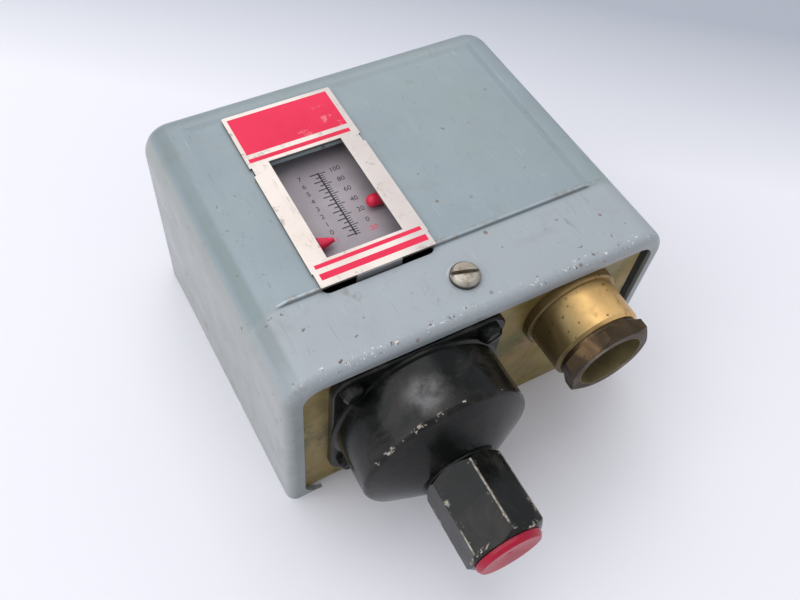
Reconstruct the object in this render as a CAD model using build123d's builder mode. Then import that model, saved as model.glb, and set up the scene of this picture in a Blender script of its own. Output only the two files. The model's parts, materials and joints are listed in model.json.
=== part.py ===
"""Pressure switch lying on its back: steel case and drawn cover, bellows element, lever, springs, contacts, gland.

Millimetres. The origin is the centre of the back face, +Z points out of the face with the window,
+Y points to the far end and -Y to the end that holds the bellows element and the cable gland.
"""
from build123d import *
import os

# ---------------------------------------------------------------- driving dimensions
WIDTH = 95.0            # cover, along X, where it is square
OPEN_SPLAY = 1.9        # its right side stands out by this at the open end
FAR_SPLAY = 1.2         # and its left side by this at the far end
HEIGHT = 82.5           # cover, along Y
FACE_Z = 54.4           # plain part of the cover's face
PANEL_RISE = 0.6        # raised panel above it
COVER_SHEET = 1.0
FACE_R = 7.6            # rounding between face and sides
CORNER_R = 6.4          # far upright corners
FRONT_R = 2.4           # rounding round the open end
RIM = 4.2               # inward rim at the open end
MOUTH_RIGHT = 45.8      # right edge of the mouth, where the rim is narrower
WALL_RIGHT = 43.4       # the base's end wall stops short of it
STEEL = 1.5             # case base sheet
FRAME_STEEL = 1.6       # mechanism frame sheet
GAP = 0.3               # between the base and the cover

END_Y = -HEIGHT / 2                     # open end of the cover
WALL_Y = END_Y + COVER_SHEET + GAP      # outer face of the base's end wall
WALL_IN = WALL_Y + STEEL
FAR_Y = HEIGHT / 2 - COVER_SHEET - GAP  # outer face of the base's far wall
PANEL_Y = END_Y + 19.1                  # step of the raised panel
PLATE_X = -16.5                         # nameplate centre line
SCREW_X, SCREW_Y = -1.0, END_Y + 9.3    # cover screw

BELLOWS_X, BELLOWS_Z = -16.0, 29.3      # pressure element axis, along Y
FLANGE_SIZE = 42.0
FLANGE_PITCH = 33.2
FLANGE_T = 2.0
CUP_R = 20.4
CUP_SHOULDER_Y = -56.2
CUP_NOSE_Y = -61.6
HEX_AF = 16.7
HEX_END_Y = -80.75

GLAND_X, GLAND_Z = 25.1, 38.0           # cable gland axis, along Y
COLLAR_R = 12.1
COLLAR_T = 2.3
GLAND_R = 11.1
GLAND_END_Y = -52.6
NUT_AF = 19.8
NUT_HOLE_R = 8.0

MECH_Z = 29.3                           # level of lever, rod and both spring screws
RANGE_X = -37.0                         # range spring and screw
DIFF_X = 2.0                            # differential spring and screw
PIVOT_X, PIVOT_Y = -29.5, -23.5         # lever pin, along Z
PIN_R = 1.6
LEVER_Y = -28.0                         # underside of the lever
LEVER_T = 1.6
FRAME_END = 31.0                        # inner face of the frame's end plate
SCALE_Z = 49.5                          # underside of the scale plate
RANGE_POINT_Y = -9.4                    # where the two pointers stand on the scale
DIFF_POINT_Y = -3.0
RUN = 0.05                              # radial clearance of every running fit

CONTACT_X, CONTACT_PIVOT_X = 18.5, 34.5
CONTACT_PIVOT_Y = -13.1
BASE_TOP = 24.0                         # top of the switch block

os.makedirs("parts", exist_ok=True)


def save(piece, name):
    """Label a finished piece and write it to its own STEP file."""
    piece.part.label = name
    export_step(piece.part, f"parts/{name}.step")


def end_plane(x, y, z):
    """A plane facing out of the open end (-Y): its X is the object's X and its Y the object's Z."""
    return Plane(origin=(x, y, z), x_dir=(1, 0, 0), z_dir=(0, -1, 0))


def turned(points, x, z, round_at=(), radius=0.0):
    """A piece turned about an axis parallel to Y; points are (radius, y), some of them rounded."""
    with BuildPart() as piece:
        with BuildSketch(Plane(origin=(x, 0, z))) as profile:
            with BuildLine():
                Polyline(*points, close=True)
            make_face()
            if round_at:
                picked = [profile.vertices().sort_by_distance((r, y, 0))[0] for r, y in round_at]
                fillet(picked, radius)
        revolve(axis=Axis((x, 0, z), (0, 1, 0)))
    return piece


def box(x0, x1, y0, y1, z0, z1, mode=Mode.ADD):
    """A box between two corners, joined to the part being built."""
    with Locations(((x0 + x1) / 2, (y0 + y1) / 2, (z0 + z1) / 2)):
        Box(x1 - x0, y1 - y0, z1 - z0, mode=mode)


def bore_z(x, y, z0, z1, radius, mode=Mode.SUBTRACT):
    """A round hole, or with Mode.ADD a round post, along Z."""
    with Locations((x, y, (z0 + z1) / 2)):
        Cylinder(radius, z1 - z0, mode=mode)


def bore_y(x, z, y0, y1, radius, mode=Mode.SUBTRACT):
    """A round hole, or with Mode.ADD a round post, along Y."""
    with Locations(Location((x, (y0 + y1) / 2, z), (90, 0, 0))):
        Cylinder(radius, y1 - y0, mode=mode)


def pan_screw(places, head_r, head_h, shank_r, length, slot_angle=35):
    """Slotted pan-head screws with their heads' undersides on the given planes, as separate solids."""
    with BuildPart() as screws:
        for place in places:
            with BuildSketch(Plane(origin=place.origin, x_dir=place.x_dir, z_dir=-place.y_dir)) as profile:
                with BuildLine():
                    Polyline((0, -length), (shank_r, -length), (shank_r, 0), (head_r, 0), (head_r, head_h * 0.5),
                             (head_r * 0.8, head_h * 0.92), (0, head_h), close=True)
                make_face()
                fillet(profile.vertices().sort_by_distance((head_r * 0.9, head_h))[:1], head_h * 0.3)
            revolve(axis=Axis(place.origin, place.z_dir))
            with BuildSketch(place.offset(head_h * 0.5)):
                Rectangle(head_r * 2.2, head_r * 0.3, rotation=slot_angle)
            extrude(amount=head_h, mode=Mode.SUBTRACT)
    return screws


# ---------------------------------------------------------------- cover, nameplate and cover screw
def cover_form(inset):
    """The rounded block of the cover, shrunk by inset on every side but the open back."""
    left, right = inset - WIDTH / 2, WIDTH / 2 - inset
    near, far = inset - HEIGHT / 2, HEIGHT / 2 - inset
    with BuildPart() as form:
        with BuildSketch():
            with BuildLine():
                Polyline((left, near), (right + OPEN_SPLAY, near), (right, far), (left - FAR_SPLAY, far), close=True)
            make_face()
        extrude(amount=FACE_Z - inset)
        fillet(form.edges().filter_by(Axis.Z).group_by(Axis.Y)[-1], CORNER_R - inset)
        face_edges = form.edges().group_by(Axis.Z)[-1].sort_by(Axis.Y)[1:]
        fillet(face_edges, FACE_R - inset)
        front_edges = form.faces().sort_by(Axis.Y)[0].edges().sort_by(Axis.Z)[1:]
        fillet(front_edges, FRONT_R - inset)
    return form


PANEL_HALF = WIDTH / 2 - FACE_R - 0.1
PANEL_FAR = HEIGHT / 2 - FACE_R - 0.2
PANEL_FADE = 2.2        # the panel's sides and far edge rise over this much


def panel_slab(inset):
    """The raised panel: a crisp step at the front, the other three edges fading into the face."""
    near, far = PANEL_Y + inset, PANEL_FAR - inset
    with BuildPart() as slab:
        for rise, fade in ((0, 0), (PANEL_RISE, PANEL_FADE)):
            with BuildSketch(Plane.XY.offset(FACE_Z - inset + rise)):
                with Locations((0, (near + far - fade) / 2)):
                    Rectangle(2 * (PANEL_HALF - inset - fade), far - fade - near)
        loft()
    return slab


with BuildPart() as cover:
    add(cover_form(0).part)
    add(panel_slab(0).part)
    fillet(cover.edges().group_by(Axis.Z)[-1].sort_by(Axis.Y)[:1], PANEL_RISE - 0.15)
    add(cover_form(COVER_SHEET).part, mode=Mode.SUBTRACT)
    add(panel_slab(COVER_SHEET).part, mode=Mode.SUBTRACT)
    # open end, leaving the inward rim
    mouth_top = FACE_Z + PANEL_RISE - RIM
    with BuildSketch(Plane(origin=(0, END_Y - 1, 0), x_dir=(1, 0, 0), z_dir=(0, -1, 0))) as mouth:
        mouth_left = RIM - WIDTH / 2
        with Locations(((mouth_left + MOUTH_RIGHT) / 2, mouth_top / 2)):
            Rectangle(MOUTH_RIGHT - mouth_left, mouth_top)
        fillet(mouth.vertices().group_by(Axis.Z)[-1], 4.5)
    extrude(amount=-3, mode=Mode.SUBTRACT)
    # opening under the nameplate, a little longer than the plate
    with BuildSketch(Plane.XY.offset(FACE_Z - 3)):
        with Locations((PLATE_X, -4.4)):
            RectangleRounded(27.0, 38.0, 1.8)
    extrude(amount=6, mode=Mode.SUBTRACT)
    for side in (-1, 1):
        box(PLATE_X + side * 8 - 1.8, PLATE_X + side * 8 + 1.8, 24.0, 25.2, FACE_Z - 3, FACE_Z + 3, Mode.SUBTRACT)
    bore_z(SCREW_X, SCREW_Y, FACE_Z - 3, FACE_Z + 3, 2.1)
save(cover, "cover")

PLATE_TOP = FACE_Z + PANEL_RISE + 0.9
PLATE_T = 0.65
PLATE_END = -22.45
with BuildPart() as nameplate:
    with BuildSketch(Plane.XY.offset(PLATE_TOP - PLATE_T)) as plate_outline:
        with Locations((PLATE_X, (31.3 + PLATE_END) / 2)):
            Rectangle(28.0, 31.3 - PLATE_END)
        fillet(plate_outline.vertices(), 0.5)
        # small locating nicks below the header and beside the lower bands
        for side in (-1, 1):
            with Locations((PLATE_X + side * 14.0, 12.8)):
                Rectangle(1.0, 2.6, mode=Mode.SUBTRACT)
            with Locations((PLATE_X + side * 14.0, -20.6)):
                Rectangle(0.5, 4.2, mode=Mode.SUBTRACT)
        with Locations((PLATE_X - 0.1, -0.65)):
            Rectangle(18.3, 30.4, mode=Mode.SUBTRACT)
    extrude(amount=PLATE_T)
    # tongue folded down into the opening, and two lugs through the cover
    box(-22.0, -11.3, PLATE_END - 0.45, PLATE_END + 0.2, FACE_Z - 1.6, PLATE_TOP - 0.05)
    for side in (-1, 1):
        box(PLATE_X + side * 8 - 1.5, PLATE_X + side * 8 + 1.5, 24.3, 24.9, FACE_Z - 2.4, PLATE_TOP - 0.1)
save(nameplate, "nameplate")

cover_screw_place = Plane(origin=(SCREW_X, SCREW_Y, FACE_Z + 0.05))
cover_screw = pan_screw([cover_screw_place], 3.4, 2.0, 1.8, 10.5, -17)
save(cover_screw, "cover_screw")

with BuildPart() as cover_screw_retainer:
    bore_z(SCREW_X, SCREW_Y, FACE_Z - COVER_SHEET - 0.9, FACE_Z - COVER_SHEET - 0.05, 4.0, Mode.ADD)
    bore_z(SCREW_X, SCREW_Y, FACE_Z - 4, FACE_Z, 1.8 + RUN)
save(cover_screw_retainer, "cover_screw_retainer")

# ---------------------------------------------------------------- case base
BASE_HALF = WIDTH / 2 - COVER_SHEET - GAP
HOLE_X, HOLE_Y, HOLE_R = 41.0, 34.0, 2.25   # mounting holes in the back
flange_places = [(BELLOWS_X + i * FLANGE_PITCH / 2, BELLOWS_Z + j * FLANGE_PITCH / 2)
                 for i in (-1, 1) for j in (-1, 1)]
frame_screw_places = [(-31, -31), (1.5, -30), (-31, 26), (1.5, 26)]
switch_screw_places = [(26.5, 1.5), (26.5, 13.5)]
GROUND = (12.2, -32.5)
with BuildPart() as case_base:
    box(-BASE_HALF, BASE_HALF, WALL_Y, FAR_Y, 0, STEEL)
    box(-BASE_HALF, WALL_RIGHT, WALL_Y, WALL_IN, 0, 52.6)
    box(-BASE_HALF, BASE_HALF, FAR_Y - STEEL, FAR_Y, 0, 24)
    along = case_base.edges().filter_by(Axis.X)
    fillet(along.filter_by_position(Axis.Z, -0.01, 0.01), 2.0)
    along = case_base.edges().filter_by(Axis.X)
    fillet(along.filter_by_position(Axis.Z, STEEL - 0.01, STEEL + 0.01), 0.5)
    # corners rounded to pass inside the cover
    add(cover_form(COVER_SHEET + GAP).part, mode=Mode.INTERSECT)
    # tab for the cover screw, folded in from the end wall
    box(SCREW_X - 6, SCREW_X + 6, WALL_IN - 0.5, SCREW_Y + 6, 49.5, 51)
    bore_z(SCREW_X, SCREW_Y, 49, 52, 1.8 + 2 * RUN)
    bore_y(BELLOWS_X, BELLOWS_Z, WALL_Y - 1, WALL_IN + 1, 13.0)
    for x, z in flange_places:
        bore_y(x, z, WALL_Y - 1, WALL_IN + 1, 1.75)
    bore_y(GLAND_X, GLAND_Z, WALL_Y - 1, WALL_IN + 1, 10.2)
    with GridLocations(2 * HOLE_X, 2 * HOLE_Y, 2, 2):
        Cylinder(HOLE_R, 10, mode=Mode.SUBTRACT)
    for x, y in frame_screw_places:
        bore_z(x, y, -1, 2, 1.5)
    for x, y in switch_screw_places:
        bore_z(x, y, -1, 2, 1.3)
    bore_z(GROUND[0], GROUND[1], -1, 2, 1.8)
save(case_base, "case_base")

# ---------------------------------------------------------------- mechanism frame and scale
FRAME_Z = STEEL + FRAME_STEEL
EAR_Z = (18.8, 38.2)        # undersides of the two ears that hold the lever pin
with BuildPart() as mechanism_frame:
    box(-37, 7, -34, FRAME_END + 0.5, STEEL, FRAME_Z)
    box(-42, 7, FRAME_END, FRAME_END + FRAME_STEEL, STEEL, 44)
    box(-43, -36.5, FRAME_END - 1, FRAME_END + 3, STEEL - 1, 10, Mode.SUBTRACT)
    # flange that carries the scale plate
    box(-26, -7, FRAME_END, FRAME_END + FRAME_STEEL, 43, SCALE_Z)
    box(-26, -7, 22, FRAME_END + 0.5, SCALE_Z - FRAME_STEEL, SCALE_Z)
    # side wall with two ears
    box(-45, -36, -29, -18, STEEL, FRAME_Z)
    box(-45, -45 + FRAME_STEEL, -29, -18, STEEL, EAR_Z[1] + FRAME_STEEL)
    for z in EAR_Z:
        box(-44, -25.5, -29, -18, z, z + FRAME_STEEL)
    bore_z(PIVOT_X, PIVOT_Y, 10, 45, PIN_R + 0.01)
    bore_y(RANGE_X, MECH_Z, FRAME_END - 1, FRAME_END + 3, 2.5 + RUN)
    bore_y(DIFF_X, MECH_Z, FRAME_END - 1, FRAME_END + 3, 2.0 + RUN)
    for x, y in frame_screw_places:
        bore_z(x, y, 0, 5, 1.7)
    for x in (-22, -11):
        bore_z(x, 27, 45, 52, 1.1)
save(mechanism_frame, "mechanism_frame")


def upward(x, y, z):
    """A plane facing up (+Z) at a point."""
    return Plane(origin=(x, y, z))


save(pan_screw([upward(x, y, FRAME_Z) for x, y in frame_screw_places], 2.9, 2.0, 1.45, 2.9), "frame_screws")

SCALE_T = 0.8
with BuildPart() as scale_plate:
    box(-26.5, -4.4, -14, 31.5, SCALE_Z, SCALE_Z + SCALE_T)
    fillet(scale_plate.edges().filter_by(Axis.Z), 1.0)
    for x in (-22, -11):
        bore_z(x, 27, 45, 52, 1.15)
save(scale_plate, "scale_plate")
save(pan_screw([upward(x, 27, SCALE_Z + SCALE_T) for x in (-22, -11)], 2.0, 1.3, 1.05, 3.2), "scale_screws")

# ---------------------------------------------------------------- lever
LEVER_Z = (22.0, 36.8)
with BuildPart() as main_lever:
    box(-40, 17, LEVER_Y, LEVER_Y + LEVER_T, MECH_Z - 4.5, MECH_Z + 4.5)
    box(-33.5, 6.5, LEVER_Y, LEVER_Y + LEVER_T, *LEVER_Z)
    for z in (LEVER_Z[0], LEVER_Z[1] - LEVER_T):
        box(-33.5, 6.5, LEVER_Y, -21, z, z + LEVER_T)
    fillet(main_lever.edges().filter_by(Axis.Z).group_by(Axis.Y)[-1], 2.5)
    bore_z(PIVOT_X, PIVOT_Y, 15, 45, PIN_R + RUN)
    bore_y(RANGE_X, MECH_Z, LEVER_Y - 1, LEVER_Y + 3, 1.3)
    # locating boss of the differential spring
    bore_y(DIFF_X, MECH_Z, LEVER_Y + LEVER_T - 0.2, LEVER_Y + LEVER_T + 1.8, 2.4, Mode.ADD)
    bore_y(14.0, MECH_Z, LEVER_Y - 1, LEVER_Y + 3, 1.0)
save(main_lever, "main_lever")

with BuildPart() as lever_pin:
    bore_z(PIVOT_X, PIVOT_Y, EAR_Z[0] - 0.7, EAR_Z[1] + FRAME_STEEL + 0.7, PIN_R, Mode.ADD)
    bore_z(PIVOT_X, PIVOT_Y, EAR_Z[1] + FRAME_STEEL + 0.02, EAR_Z[1] + FRAME_STEEL + 1.2, PIN_R + 0.9, Mode.ADD)
    chamfer(lever_pin.edges().group_by(Axis.Z)[-1], 0.4)
save(lever_pin, "lever_pin")

save(
    turned([(0, LEVER_Y - 0.6), (1.0, LEVER_Y - 0.6), (1.0, LEVER_Y + LEVER_T), (1.9, LEVER_Y + LEVER_T),
            (1.9, -16.2), (1.3, -14.0), (0, -14.0)], 14.0, MECH_Z),
    "switch_push_pin",
)


# ---------------------------------------------------------------- springs, adjusting screws, nuts and pointers
def adjusting_screw(x, radius, tip_y):
    """A slotted screw through the frame's end plate, with a groove for its clip."""
    head_y = FRAME_END + FRAME_STEEL + 0.1
    with BuildPart() as screw:
        add(turned(
            [(0, tip_y), (radius - 0.6, tip_y), (radius, tip_y + 0.6), (radius, 30.0), (radius - 0.5, 30.0),
             (radius - 0.5, 30.9), (radius, 30.9), (radius, head_y), (radius + 1.9, head_y),
             (radius + 1.9, head_y + 2.6), (radius + 1.2, head_y + 3.3), (0, head_y + 3.3)], x, MECH_Z).part)
        box(x - 0.6, x + 0.6, head_y + 2.0, head_y + 4, MECH_Z - 6, MECH_Z + 6, Mode.SUBTRACT)
    return screw


def screw_clip(x, radius):
    """The open retaining ring in a screw's groove."""
    with BuildPart() as clip:
        bore_y(x, MECH_Z, 30.05, 30.85, radius + 1.8, Mode.ADD)
        bore_y(x, MECH_Z, 29, 32, radius - 0.5 + RUN)
        box(x - 1.2, x + 1.2, 29, 32, MECH_Z - radius - 3, MECH_Z, Mode.SUBTRACT)
    return clip


def coil(x, mean_r, wire_r, y0, y1, turns):
    """A helical spring round an axis parallel to Y, its wire's centre line from y0 to y1."""
    with BuildPart() as spring:
        with BuildLine():
            path = Helix(pitch=(y1 - y0) / turns, height=y1 - y0, radius=mean_r, center=(x, y0, MECH_Z),
                         direction=(0, 1, 0))
        with BuildSketch(Plane(origin=path @ 0, z_dir=path % 0)):
            Circle(wire_r)
        sweep(path=path, is_frenet=True)
    return spring


save(adjusting_screw(RANGE_X, 2.5, -13.0), "range_screw")
save(screw_clip(RANGE_X, 2.5), "range_screw_clip")
save(adjusting_screw(DIFF_X, 2.0, -11.5), "differential_screw")
save(screw_clip(DIFF_X, 2.0), "differential_screw_clip")

RANGE_SPRING_R, RANGE_WIRE_R = 4.75, 0.75
NUT_TOP = RANGE_POINT_Y - 0.4
with BuildPart() as range_spring:
    add(coil(RANGE_X, RANGE_SPRING_R, RANGE_WIRE_R, -23.2, NUT_TOP - 1.9, 7).part)
    # straight shank and hook through the lever
    bore_y(RANGE_X, MECH_Z, LEVER_Y - 1.2, -23.2, 0.75, Mode.ADD)
    bore_y(RANGE_X, MECH_Z, LEVER_Y - 1.5, LEVER_Y - 0.3, 2.2, Mode.ADD)
    box(RANGE_X, RANGE_X + RANGE_SPRING_R, -23.8, -22.7, MECH_Z - 0.55, MECH_Z + 0.55)
save(range_spring, "range_spring")

save(
    turned([(2.5 + RUN, NUT_TOP), (6.2, NUT_TOP), (6.2, NUT_TOP - 1.1), (3.9, NUT_TOP - 1.1),
            (3.9, NUT_TOP - 5.0), (2.5 + RUN, NUT_TOP - 5.0)], RANGE_X, MECH_Z),
    "range_nut",
)

DIFF_SPRING_R, DIFF_WIRE_R = 3.7, 0.55
DIFF_NUT_TOP = DIFF_POINT_Y - 0.4
save(coil(DIFF_X, DIFF_SPRING_R, DIFF_WIRE_R, LEVER_Y + LEVER_T + 0.6, DIFF_NUT_TOP - 3.7, 7), "differential_spring")
save(
    turned([(2.0 + RUN, DIFF_NUT_TOP), (5.2, DIFF_NUT_TOP), (5.2, DIFF_NUT_TOP - 3.0), (3.0, DIFF_NUT_TOP - 3.0),
            (3.0, DIFF_NUT_TOP - 4.6), (2.0 + RUN, DIFF_NUT_TOP - 4.6)], DIFF_X, MECH_Z),
    "differential_nut",
)

ARM_T = 0.8
ARM_Z = SCALE_Z + SCALE_T + 0.8      # underside of the arms over the scale plate
TIP_Z = ARM_Z + 1.0


def pointer_arm(x, ring_r, hole_r, y, reach_x):
    """A sheet arm: a ring clamped on the nut, an upright, and a finger over the scale plate."""
    side = 1 if reach_x > x else -1
    with BuildPart() as arm:
        bore_y(x, MECH_Z, y - ARM_T / 2 + 0.02, y + ARM_T / 2, ring_r, Mode.ADD)
        box(x - 2.6, x + 2.6, y - ARM_T / 2 + 0.02, y + ARM_T / 2, MECH_Z, ARM_Z + ARM_T)
        finger = sorted((x - side * 2.6, reach_x))
        box(finger[0], finger[1], y - 1.5, y + 1.5, ARM_Z, ARM_Z + ARM_T)
        bore_y(x, MECH_Z, y - 3, y + 3, hole_r)
    return arm


save(pointer_arm(RANGE_X, 5.6, 2.9, RANGE_POINT_Y, -24.85), "cut_out_pointer")
save(pointer_arm(DIFF_X, 4.8, 2.4, DIFF_POINT_Y, -5.6), "cut_in_pointer")

tip_plane = Plane(origin=(-24.8, RANGE_POINT_Y, TIP_Z), x_dir=(0, 1, 0), z_dir=(1, 0, 0))
with BuildPart() as cut_out_pointer_tip:
    with BuildSketch(tip_plane):
        Circle(1.7)
    with BuildSketch(tip_plane.offset(3.9)):
        Circle(0.5)
    loft()
save(cut_out_pointer_tip, "cut_out_pointer_tip")

TIP_R = 1.5
with BuildPart() as cut_in_pointer_tip:
    with BuildSketch(Plane(origin=(-5.65, DIFF_POINT_Y, TIP_Z), x_dir=(0, 1, 0), z_dir=(-1, 0, 0))):
        Circle(TIP_R)
    extrude(amount=2.35)
    with Locations((-8.0, DIFF_POINT_Y, TIP_Z)):
        Sphere(TIP_R)
save(cut_in_pointer_tip, "cut_in_pointer_tip")

# ---------------------------------------------------------------- switch block and contacts
STRIP_T = 0.8
with BuildPart() as switch_insulator:
    box(13.9, 38.5, -8, 30.3, STEEL + 0.02, STEEL + 0.6)
    for x, y in switch_screw_places:
        bore_z(x, y, 0, 5, 1.6)
save(switch_insulator, "switch_insulator")

with BuildPart() as switch_base:
    box(14.5, 38, -6, 30, STEEL + 0.65, BASE_TOP)
    fillet(switch_base.edges().filter_by(Axis.Z), 1.5)
    # barriers round the two terminals
    box(25.4, 27.6, 16, 30, BASE_TOP - 1, BASE_TOP + 7)
    for x in (14.5, 36.6):
        box(x, x + 1.4, 16, 30, BASE_TOP - 1, BASE_TOP + 5)
    chamfer(switch_base.edges().filter_by(Axis.Y).group_by(Axis.Z)[-1], 0.5)
    for x, y in switch_screw_places:
        bore_z(x, y, 0, BASE_TOP + 1, 1.5)
        bore_z(x, y, BASE_TOP - 3, BASE_TOP + 1, 3.0)
    for x in (CONTACT_X + 1.0, CONTACT_PIVOT_X - 1.5):
        bore_z(x, 22, 12, BASE_TOP + 1, 1.5)
save(switch_base, "switch_base")
save(pan_screw([upward(x, y, BASE_TOP - 3) for x, y in switch_screw_places], 2.6, 1.8, 1.25, 20.6), "switch_screws")

FIN_Y = -7.8
with BuildPart() as fixed_contact:
    box(CONTACT_X - 2.3, CONTACT_X + 4.5, FIN_Y, 26, BASE_TOP + 0.02, BASE_TOP + STRIP_T)
    box(CONTACT_X - 2.3, CONTACT_X + 2.3, FIN_Y, FIN_Y + STRIP_T, BASE_TOP + 0.02, 33)
    bore_y(CONTACT_X, MECH_Z, FIN_Y - 0.9, FIN_Y + 0.1, 1.9, Mode.ADD)
    bore_z(CONTACT_X + 1.0, 22, 20, 30, 1.5)
save(fixed_contact, "fixed_contact")

with BuildPart() as contact_bracket:
    box(CONTACT_PIVOT_X - 4.8, CONTACT_PIVOT_X + 1.8, FIN_Y, 26, BASE_TOP + 0.02, BASE_TOP + STRIP_T)
    box(CONTACT_PIVOT_X - 3.2, CONTACT_PIVOT_X + 3.2, FIN_Y, FIN_Y + STRIP_T, BASE_TOP + 0.02, 34)
    for z in (BASE_TOP + 0.02, 33.2):
        box(CONTACT_PIVOT_X - 3.2, CONTACT_PIVOT_X + 3.2, CONTACT_PIVOT_Y - 2.4, FIN_Y + 0.1, z, z + STRIP_T)
    bore_z(CONTACT_PIVOT_X, CONTACT_PIVOT_Y, 20, 40, 1.01)
    bore_z(CONTACT_PIVOT_X - 1.5, 22, 20, 30, 1.5)
save(contact_bracket, "contact_bracket")

with BuildPart() as contact_arm:
    box(CONTACT_X - 5.5, CONTACT_PIVOT_X, CONTACT_PIVOT_Y - 0.4, CONTACT_PIVOT_Y + 0.4, 27, 31.6)
    bore_z(CONTACT_PIVOT_X, CONTACT_PIVOT_Y, 26, 32, 2.0, Mode.ADD)
    bore_y(CONTACT_X, MECH_Z, CONTACT_PIVOT_Y + 0.3, CONTACT_PIVOT_Y + 1.2, 1.8, Mode.ADD)
    bore_z(CONTACT_PIVOT_X, CONTACT_PIVOT_Y, 20, 40, 1.0 + RUN)
save(contact_arm, "contact_arm")

with BuildPart() as contact_pin:
    bore_z(CONTACT_PIVOT_X, CONTACT_PIVOT_Y, 23.6, 34.6, 1.0, Mode.ADD)
    bore_z(CONTACT_PIVOT_X, CONTACT_PIVOT_Y, 34.02, 34.9, 1.6, Mode.ADD)
save(contact_pin, "contact_pin")

terminals = [(CONTACT_X + 1.0, 22), (CONTACT_PIVOT_X - 1.5, 22)]
CLAMP_T = 1.0
with BuildPart() as terminal_clamps:
    for x, y in terminals:
        box(x - 3.2, x + 3.2, y - 3.2, y + 3.2, BASE_TOP + STRIP_T + 0.05, BASE_TOP + STRIP_T + CLAMP_T)
        for side in (-1, 1):
            box(x + side * 2.9 - 0.3, x + side * 2.9 + 0.3, y - 3.2, y + 3.2,
                BASE_TOP + STRIP_T + 0.5, BASE_TOP + STRIP_T + 2.0)
        bore_z(x, y, 20, 30, 1.6)
save(terminal_clamps, "terminal_clamps")
save(
    pan_screw([upward(x, y, BASE_TOP + STRIP_T + CLAMP_T + 0.05) for x, y in terminals], 2.4, 2.2, 1.4, 8, 80),
    "terminal_screws",
)

with BuildPart() as ground_screw:
    with BuildSketch(upward(GROUND[0], GROUND[1], STEEL + 0.05)):
        Circle(4.2)
    extrude(amount=0.8)
    with BuildSketch(upward(GROUND[0], GROUND[1], STEEL + 0.8)):
        RegularPolygon(3.5, 6, major_radius=False)
    extrude(amount=3.2)
    chamfer(ground_screw.edges().group_by(Axis.Z)[-1], 0.5)
    box(GROUND[0] - 4, GROUND[0] + 4, GROUND[1] - 0.5, GROUND[1] + 0.5, 4.2, 6, Mode.SUBTRACT)
    bore_z(GROUND[0], GROUND[1], 0.2, STEEL + 0.2, 1.75, Mode.ADD)
save(ground_screw, "ground_screw")

# ---------------------------------------------------------------- pressure element
FLANGE_Y = WALL_Y - FLANGE_T
with BuildPart() as element_flange:
    with BuildSketch(end_plane(BELLOWS_X, WALL_Y, BELLOWS_Z)):
        RectangleRounded(FLANGE_SIZE, FLANGE_SIZE, 4.8)
        Circle(12.6, mode=Mode.SUBTRACT)
        with GridLocations(FLANGE_PITCH, FLANGE_PITCH, 2, 2):
            Circle(1.85, mode=Mode.SUBTRACT)
    extrude(amount=FLANGE_T)
    fillet(element_flange.edges().group_by(Axis.Y)[0].sort_by(SortBy.LENGTH)[-4:], 0.5)
save(element_flange, "element_flange")
save(pan_screw([end_plane(x, FLANGE_Y, z) for x, z in flange_places], 2.6, 2.3, 1.7, 6.3), "flange_screws")

CUP_T = 1.2
CUP_Y = FLANGE_Y - 0.02
with BuildPart() as pressure_cup:
    add(turned(
        [(CUP_R - CUP_T, CUP_Y), (CUP_R + 0.8, CUP_Y), (CUP_R + 0.8, CUP_Y - 0.7), (CUP_R, CUP_Y - 1.1),
         (CUP_R, CUP_SHOULDER_Y), (9.2, CUP_NOSE_Y), (5.2, CUP_NOSE_Y), (5.2, CUP_NOSE_Y + CUP_T),
         (9.0, CUP_NOSE_Y + CUP_T), (CUP_R - CUP_T, CUP_SHOULDER_Y + CUP_T)],
        BELLOWS_X, BELLOWS_Z, [(CUP_R, CUP_SHOULDER_Y)], 1.5).part)
    for x, z in flange_places:
        bore_y(x, z, CUP_Y - 3, CUP_Y + 1, 2.7)
save(pressure_cup, "pressure_cup")

# corrugated tube: the wall's centre line zigzags between two radii
CONVOLUTIONS = 5
BELLOWS_PITCH = 2.2
bellows_points = []
for step in range(2 * CONVOLUTIONS + 1):
    reach = 17.6 if step % 2 else 13.4
    bellows_points.append((reach, FLANGE_Y - 0.4 - step * BELLOWS_PITCH / 2))
BELLOWS_T = 0.35
outer = [(r + BELLOWS_T, y) for r, y in bellows_points]
inner = [(r - BELLOWS_T, y) for r, y in reversed(bellows_points)]
save(turned(outer + inner, BELLOWS_X, BELLOWS_Z), "bellows")

CAP_Y = bellows_points[-1][1] - 0.05
save(
    turned([(0, CAP_Y), (13.0, CAP_Y), (13.0, CAP_Y - 1.4), (0, CAP_Y - 1.4)], BELLOWS_X, BELLOWS_Z),
    "bellows_cap",
)
save(
    turned([(0, CAP_Y + 0.02), (5.0, CAP_Y + 0.02), (5.0, CAP_Y + 1.4), (3.0, CAP_Y + 2.4), (3.0, LEVER_Y - 1.6),
            (1.6, LEVER_Y - 0.3), (0, LEVER_Y - 0.3)], BELLOWS_X, BELLOWS_Z),
    "push_rod",
)


def hex_bar(af, x, z, y0, y1, turn, bevel_r, bevel):
    """A hexagon bar along Y from y0 down to y1, its corners turned off at the ends."""
    half = af / 2
    with BuildPart() as bar:
        with BuildSketch(end_plane(x, y0, z)):
            RegularPolygon(half, 6, major_radius=False, rotation=turn)
        extrude(amount=y0 - y1)
        add(turned([(0, y0), (bevel_r, y0), (half * 1.2, y0 - bevel), (half * 1.2, y1 + bevel), (bevel_r, y1),
                    (0, y1)], x, z).part, mode=Mode.INTERSECT)
    return bar


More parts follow.
